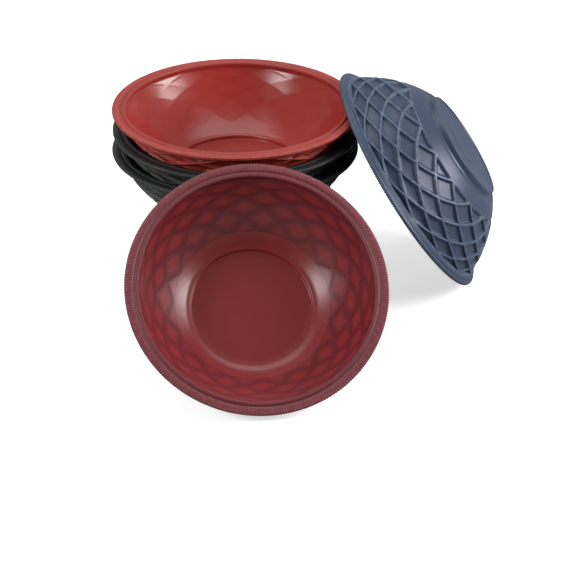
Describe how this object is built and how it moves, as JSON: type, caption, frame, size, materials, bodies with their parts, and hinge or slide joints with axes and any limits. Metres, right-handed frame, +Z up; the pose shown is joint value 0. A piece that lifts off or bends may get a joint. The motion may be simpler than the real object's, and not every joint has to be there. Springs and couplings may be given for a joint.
{
  "type": "nesting chip bowl set",
  "caption": "Set of round plastic snack bowls with a raised diamond lattice outside, shown nested upright, tipped and leaning for serving chips.",
  "frame": {"origin": "on the table, under the middle of the whole set's box", "axes": "+Z up, -Y towards the picture's viewer, +X to the right in the picture"},
  "size_m": [0.3751, 0.4206, 0.2014],
  "materials": {
    "base_charcoal": "satin moulded polyethylene",
    "lower_charcoal": "satin moulded polyethylene",
    "upper_charcoal": "satin moulded polyethylene",
    "red": "satin moulded polyethylene",
    "burgundy": "satin moulded polyethylene",
    "blue": "satin moulded polyethylene"
  },
  "bodies": {
    "base": {"base_bowl_inverted": "base_charcoal"},
    "lower": {"bowl_charcoal_lower": "lower_charcoal"},
    "upper": {"bowl_charcoal_upper": "upper_charcoal"},
    "red": {"bowl_red": "red"},
    "tipped": {"bowl_burgundy_tipped": "burgundy"},
    "leaning": {"bowl_blue_leaning": "blue"}
  },
  "joints": [
    {"name": "lower_lift", "type": "slide", "parent": "base", "child": "lower", "axis": [0, 0, 1], "range_m": [0, 0.1]},
    {"name": "upper_lift", "type": "slide", "parent": "lower", "child": "upper", "axis": [0, 0, 1], "range_m": [0, 0.1]},
    {"name": "red_lift", "type": "slide", "parent": "upper", "child": "red", "axis": [0, 0, 1], "range_m": [0, 0.1]},
    {"name": "tipped_lift", "type": "slide", "parent": "base", "child": "tipped", "axis": [0.1019, -0.682, 0.7242], "range_m": [0, 0.12]},
    {"name": "leaning_lift", "type": "slide", "parent": "red", "child": "leaning", "axis": [0.829, -0.0116, 0.5592], "range_m": [0, 0.12]}
  ]
}
